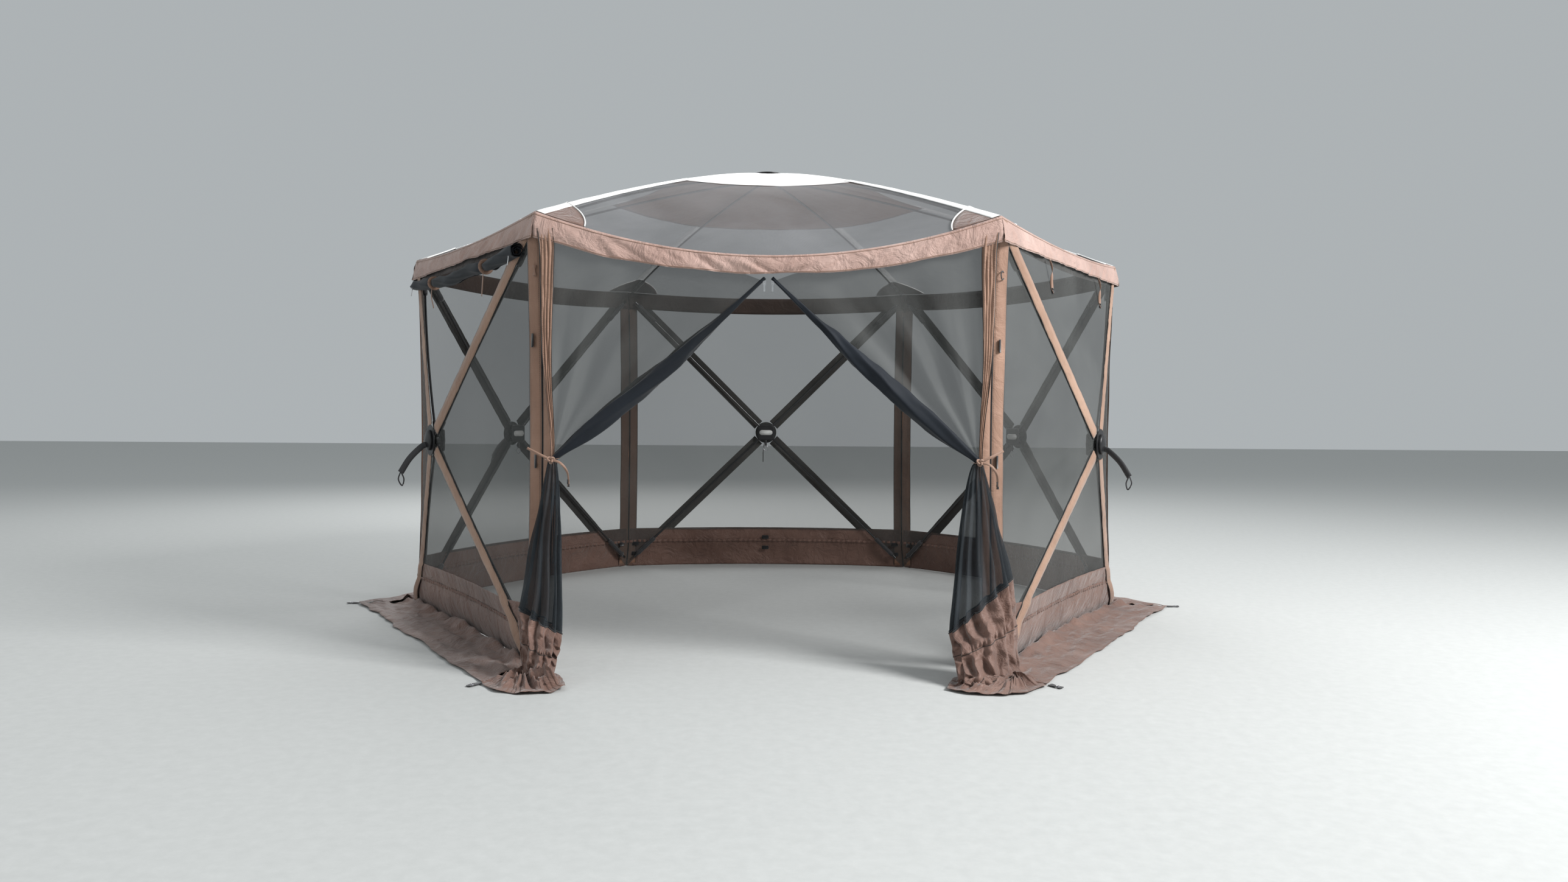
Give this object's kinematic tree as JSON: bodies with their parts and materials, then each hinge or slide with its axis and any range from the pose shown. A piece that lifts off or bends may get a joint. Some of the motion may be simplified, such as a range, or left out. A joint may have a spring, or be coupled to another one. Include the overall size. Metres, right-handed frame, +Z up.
{
  "type": "screen house",
  "caption": "Six-sided pop-up mesh shelter: walls and roof held out by spring rods pinned to push-out hubs, a tied-back door, ground flaps and stake tabs.",
  "frame": {"origin": "middle of the floor plan, on the ground", "axes": "+Z up, the door faces -Y, +X runs through the right-hand corner of the hexagon"},
  "size_m": [4.4, 3.823, 2.27],
  "materials": {
    "mesh": "matte",
    "roof_mesh": "matte",
    "white_cloth": "matte",
    "tan_cloth": "matte",
    "valance_cloth": "matte",
    "brown_cloth": "matte",
    "webbing": "matte",
    "hub_plastic": "satin",
    "fibreglass": "gloss",
    "pin_steel": "satin",
    "zip_metal": "polished"
  },
  "bodies": {
    "fabric": {"right_back_wall": "mesh", "back_wall": "mesh", "left_back_wall": "mesh", "left_front_wall": "mesh", "right_front_wall": "mesh", "roof_mesh": "roof_mesh", "roof_cap": "white_cloth", "valance": "valance_cloth", "seam_strips": "tan_cloth", "skirts": "brown_cloth", "left_door_flap": "mesh", "right_door_flap": "mesh", "tie_tapes": "tan_cloth", "stake_tabs": "webbing", "zip_sliders": "zip_metal"},
    "right_back_hub": {"right_back_hub": "hub_plastic", "right_back_hub_pins": "pin_steel", "right_back_pull_strap": "webbing"},
    "right_back_rod_bottom_left": {"right_back_rod_bottom_left": "fibreglass"},
    "right_back_rod_bottom_right": {"right_back_rod_bottom_right": "fibreglass"},
    "right_back_rod_top_right": {"right_back_rod_top_right": "fibreglass"},
    "right_back_rod_top_left": {"right_back_rod_top_left": "fibreglass"},
    "back_hub": {"back_hub": "hub_plastic", "back_hub_pins": "pin_steel", "back_pull_strap": "webbing"},
    "back_rod_bottom_left": {"back_rod_bottom_left": "fibreglass"},
    "back_rod_bottom_right": {"back_rod_bottom_right": "fibreglass"},
    "back_rod_top_right": {"back_rod_top_right": "fibreglass"},
    "back_rod_top_left": {"back_rod_top_left": "fibreglass"},
    "left_back_hub": {"left_back_hub": "hub_plastic", "left_back_hub_pins": "pin_steel", "left_back_pull_strap": "webbing"},
    "left_back_rod_bottom_left": {"left_back_rod_bottom_left": "fibreglass"},
    "left_back_rod_bottom_right": {"left_back_rod_bottom_right": "fibreglass"},
    "left_back_rod_top_right": {"left_back_rod_top_right": "fibreglass"},
    "left_back_rod_top_left": {"left_back_rod_top_left": "fibreglass"},
    "left_front_hub": {"left_front_hub": "hub_plastic", "left_front_hub_pins": "pin_steel", "left_front_pull_strap": "webbing"},
    "left_front_rod_bottom_left": {"left_front_rod_bottom_left": "fibreglass"},
    "left_front_rod_bottom_right": {"left_front_rod_bottom_right": "fibreglass"},
    "left_front_rod_top_right": {"left_front_rod_top_right": "fibreglass"},
    "left_front_rod_top_left": {"left_front_rod_top_left": "fibreglass"},
    "right_front_hub": {"right_front_hub": "hub_plastic", "right_front_hub_pins": "pin_steel", "right_front_pull_strap": "webbing"},
    "right_front_rod_bottom_left": {"right_front_rod_bottom_left": "fibreglass"},
    "right_front_rod_bottom_right": {"right_front_rod_bottom_right": "fibreglass"},
    "right_front_rod_top_right": {"right_front_rod_top_right": "fibreglass"},
    "right_front_rod_top_left": {"right_front_rod_top_left": "fibreglass"},
    "roof_hub": {"roof_hub": "hub_plastic", "roof_hub_pins": "pin_steel"},
    "roof_rib_right": {"roof_rib_right": "fibreglass"},
    "roof_rib_back_right": {"roof_rib_back_right": "fibreglass"},
    "roof_rib_back_left": {"roof_rib_back_left": "fibreglass"},
    "roof_rib_left": {"roof_rib_left": "fibreglass"},
    "roof_rib_front_left": {"roof_rib_front_left": "fibreglass"},
    "roof_rib_front_right": {"roof_rib_front_right": "fibreglass"},
    "left_zip_pull": {"left_zip_pull": "zip_metal"},
    "right_zip_pull": {"right_zip_pull": "zip_metal"}
  },
  "joints": [
    {"name": "right_back_hub_push", "type": "slide", "parent": "fabric", "child": "right_back_hub", "axis": [0.866, 0.5, 0], "range_m": [-0.316, 0]},
    {"name": "right_back_rod_bottom_left_pivot", "type": "hinge", "parent": "right_back_hub", "child": "right_back_rod_bottom_left", "pos_m": [1.50895, 0.83607, 0.85603], "axis": [0.3448, -0.5973, 0.7241], "range_deg": [0, 16.14]},
    {"name": "right_back_rod_bottom_right_pivot", "type": "hinge", "parent": "right_back_hub", "child": "right_back_rod_bottom_right", "pos_m": [1.47854, 0.88875, 0.85603], "axis": [0.3448, -0.5973, -0.7241], "range_deg": [0, 16.14]},
    {"name": "right_back_rod_top_right_pivot", "type": "hinge", "parent": "right_back_hub", "child": "right_back_rod_top_right", "pos_m": [1.47881, 0.88829, 0.91452], "axis": [-0.3514, 0.6087, -0.7113], "range_deg": [0, 15.85]},
    {"name": "right_back_rod_top_left_pivot", "type": "hinge", "parent": "right_back_hub", "child": "right_back_rod_top_left", "pos_m": [1.50868, 0.83654, 0.91452], "axis": [-0.3514, 0.6087, 0.7113], "range_deg": [0, 15.85]},
    {"name": "back_hub_push", "type": "slide", "parent": "fabric", "child": "back_hub", "axis": [0, 1, 0], "range_m": [-0.316, 0]},
    {"name": "back_rod_bottom_left_pivot", "type": "hinge", "parent": "back_hub", "child": "back_rod_bottom_left", "pos_m": [0.03041, 1.72483, 0.85603], "axis": [0.6897, 0, 0.7241], "range_deg": [0, 16.14]},
    {"name": "back_rod_bottom_right_pivot", "type": "hinge", "parent": "back_hub", "child": "back_rod_bottom_right", "pos_m": [-0.03041, 1.72483, 0.85603], "axis": [0.6897, 0, -0.7241], "range_deg": [0, 16.14]},
    {"name": "back_rod_top_right_pivot", "type": "hinge", "parent": "back_hub", "child": "back_rod_top_right", "pos_m": [-0.02988, 1.72483, 0.91452], "axis": [-0.7029, 0, -0.7113], "range_deg": [0, 15.85]},
    {"name": "back_rod_top_left_pivot", "type": "hinge", "parent": "back_hub", "child": "back_rod_top_left", "pos_m": [0.02988, 1.72483, 0.91452], "axis": [-0.7029, 0, 0.7113], "range_deg": [0, 15.85]},
    {"name": "left_back_hub_push", "type": "slide", "parent": "fabric", "child": "left_back_hub", "axis": [-0.866, 0.5, 0], "range_m": [-0.316, 0]},
    {"name": "left_back_rod_bottom_left_pivot", "type": "hinge", "parent": "left_back_hub", "child": "left_back_rod_bottom_left", "pos_m": [-1.47854, 0.88875, 0.85603], "axis": [0.3448, 0.5973, 0.7241], "range_deg": [0, 16.14]},
    {"name": "left_back_rod_bottom_right_pivot", "type": "hinge", "parent": "left_back_hub", "child": "left_back_rod_bottom_right", "pos_m": [-1.50895, 0.83607, 0.85603], "axis": [0.3448, 0.5973, -0.7241], "range_deg": [0, 16.14]},
    {"name": "left_back_rod_top_right_pivot", "type": "hinge", "parent": "left_back_hub", "child": "left_back_rod_top_right", "pos_m": [-1.50868, 0.83654, 0.91452], "axis": [-0.3514, -0.6087, -0.7113], "range_deg": [0, 15.85]},
    {"name": "left_back_rod_top_left_pivot", "type": "hinge", "parent": "left_back_hub", "child": "left_back_rod_top_left", "pos_m": [-1.47881, 0.88829, 0.91452], "axis": [-0.3514, -0.6087, 0.7113], "range_deg": [0, 15.85]},
    {"name": "left_front_hub_push", "type": "slide", "parent": "fabric", "child": "left_front_hub", "axis": [-0.866, -0.5, 0], "range_m": [-0.316, 0]},
    {"name": "left_front_rod_bottom_left_pivot", "type": "hinge", "parent": "left_front_hub", "child": "left_front_rod_bottom_left", "pos_m": [-1.50895, -0.83607, 0.85603], "axis": [-0.3448, 0.5973, 0.7241], "range_deg": [0, 16.14]},
    {"name": "left_front_rod_bottom_right_pivot", "type": "hinge", "parent": "left_front_hub", "child": "left_front_rod_bottom_right", "pos_m": [-1.47854, -0.88875, 0.85603], "axis": [-0.3448, 0.5973, -0.7241], "range_deg": [0, 16.14]},
    {"name": "left_front_rod_top_right_pivot", "type": "hinge", "parent": "left_front_hub", "child": "left_front_rod_top_right", "pos_m": [-1.47881, -0.88829, 0.91452], "axis": [0.3514, -0.6087, -0.7113], "range_deg": [0, 15.85]},
    {"name": "left_front_rod_top_left_pivot", "type": "hinge", "parent": "left_front_hub", "child": "left_front_rod_top_left", "pos_m": [-1.50868, -0.83654, 0.91452], "axis": [0.3514, -0.6087, 0.7113], "range_deg": [0, 15.85]},
    {"name": "right_front_hub_push", "type": "slide", "parent": "fabric", "child": "right_front_hub", "axis": [0.866, -0.5, 0], "range_m": [-0.316, 0]},
    {"name": "right_front_rod_bottom_left_pivot", "type": "hinge", "parent": "right_front_hub", "child": "right_front_rod_bottom_left", "pos_m": [1.47854, -0.88875, 0.85603], "axis": [-0.3448, -0.5973, 0.7241], "range_deg": [0, 16.14]},
    {"name": "right_front_rod_bottom_right_pivot", "type": "hinge", "parent": "right_front_hub", "child": "right_front_rod_bottom_right", "pos_m": [1.50895, -0.83607, 0.85603], "axis": [-0.3448, -0.5973, -0.7241], "range_deg": [0, 16.14]},
    {"name": "right_front_rod_top_right_pivot", "type": "hinge", "parent": "right_front_hub", "child": "right_front_rod_top_right", "pos_m": [1.50868, -0.83654, 0.91452], "axis": [0.3514, 0.6087, -0.7113], "range_deg": [0, 15.85]},
    {"name": "right_front_rod_top_left_pivot", "type": "hinge", "parent": "right_front_hub", "child": "right_front_rod_top_left", "pos_m": [1.47881, -0.88829, 0.91452], "axis": [0.3514, 0.6087, 0.7113], "range_deg": [0, 15.85]},
    {"name": "roof_hub_push", "type": "slide", "parent": "fabric", "child": "roof_hub", "axis": [0, 0, 1], "range_m": [-0.872, 0]},
    {"name": "roof_rib_right_pivot", "type": "hinge", "parent": "roof_hub", "child": "roof_rib_right", "pos_m": [0.042, 0, 2.236], "axis": [0, -1, 0], "range_deg": [0, 29.1]},
    {"name": "roof_rib_back_right_pivot", "type": "hinge", "parent": "roof_hub", "child": "roof_rib_back_right", "pos_m": [0.021, 0.03637, 2.236], "axis": [0.866, -0.5, 0], "range_deg": [0, 29.1]},
    {"name": "roof_rib_back_left_pivot", "type": "hinge", "parent": "roof_hub", "child": "roof_rib_back_left", "pos_m": [-0.021, 0.03637, 2.236], "axis": [0.866, 0.5, 0], "range_deg": [0, 29.1]},
    {"name": "roof_rib_left_pivot", "type": "hinge", "parent": "roof_hub", "child": "roof_rib_left", "pos_m": [-0.042, 0, 2.236], "axis": [0, 1, 0], "range_deg": [0, 29.1]},
    {"name": "roof_rib_front_left_pivot", "type": "hinge", "parent": "roof_hub", "child": "roof_rib_front_left", "pos_m": [-0.021, -0.03637, 2.236], "axis": [-0.866, 0.5, 0], "range_deg": [0, 29.1]},
    {"name": "roof_rib_front_right_pivot", "type": "hinge", "parent": "roof_hub", "child": "roof_rib_front_right", "pos_m": [0.021, -0.03637, 2.236], "axis": [-0.866, -0.5, 0], "range_deg": [0, 29.1]},
    {"name": "left_zip_pull_swing", "type": "hinge", "parent": "fabric", "child": "left_zip_pull", "pos_m": [-0.016, -1.59483, 1.53], "axis": [-1, 0, 0], "range_deg": [0, 80]},
    {"name": "right_zip_pull_swing", "type": "hinge", "parent": "fabric", "child": "right_zip_pull", "pos_m": [0.016, -1.59483, 1.53], "axis": [-1, 0, 0], "range_deg": [0, 80]}
  ],
  "couplings": [
    {"joint": "right_back_rod_bottom_left_pivot", "follows": "right_back_hub_push", "rad_per_m": -0.88857},
    {"joint": "right_back_rod_bottom_right_pivot", "follows": "right_back_hub_push", "rad_per_m": -0.88857},
    {"joint": "right_back_rod_top_right_pivot", "follows": "right_back_hub_push", "rad_per_m": -0.87248},
    {"joint": "right_back_rod_top_left_pivot", "follows": "right_back_hub_push", "rad_per_m": -0.87248},
    {"joint": "back_rod_bottom_left_pivot", "follows": "back_hub_push", "rad_per_m": -0.88857},
    {"joint": "back_rod_bottom_right_pivot", "follows": "back_hub_push", "rad_per_m": -0.88857},
    {"joint": "back_rod_top_right_pivot", "follows": "back_hub_push", "rad_per_m": -0.87248},
    {"joint": "back_rod_top_left_pivot", "follows": "back_hub_push", "rad_per_m": -0.87248},
    {"joint": "left_back_rod_bottom_left_pivot", "follows": "left_back_hub_push", "rad_per_m": -0.88857},
    {"joint": "left_back_rod_bottom_right_pivot", "follows": "left_back_hub_push", "rad_per_m": -0.88857},
    {"joint": "left_back_rod_top_right_pivot", "follows": "left_back_hub_push", "rad_per_m": -0.87248},
    {"joint": "left_back_rod_top_left_pivot", "follows": "left_back_hub_push", "rad_per_m": -0.87248},
    {"joint": "left_front_rod_bottom_left_pivot", "follows": "left_front_hub_push", "rad_per_m": -0.88857},
    {"joint": "left_front_rod_bottom_right_pivot", "follows": "left_front_hub_push", "rad_per_m": -0.88857},
    {"joint": "left_front_rod_top_right_pivot", "follows": "left_front_hub_push", "rad_per_m": -0.87248},
    {"joint": "left_front_rod_top_left_pivot", "follows": "left_front_hub_push", "rad_per_m": -0.87248},
    {"joint": "right_front_rod_bottom_left_pivot", "follows": "right_front_hub_push", "rad_per_m": -0.88857},
    {"joint": "right_front_rod_bottom_right_pivot", "follows": "right_front_hub_push", "rad_per_m": -0.88857},
    {"joint": "right_front_rod_top_right_pivot", "follows": "right_front_hub_push", "rad_per_m": -0.87248},
    {"joint": "right_front_rod_top_left_pivot", "follows": "right_front_hub_push", "rad_per_m": -0.87248},
    {"joint": "roof_rib_right_pivot", "follows": "roof_hub_push", "rad_per_m": -0.5814},
    {"joint": "roof_rib_back_right_pivot", "follows": "roof_hub_push", "rad_per_m": -0.5814},
    {"joint": "roof_rib_back_left_pivot", "follows": "roof_hub_push", "rad_per_m": -0.5814},
    {"joint": "roof_rib_left_pivot", "follows": "roof_hub_push", "rad_per_m": -0.5814},
    {"joint": "roof_rib_front_left_pivot", "follows": "roof_hub_push", "rad_per_m": -0.5814},
    {"joint": "roof_rib_front_right_pivot", "follows": "roof_hub_push", "rad_per_m": -0.5814}
  ]
}
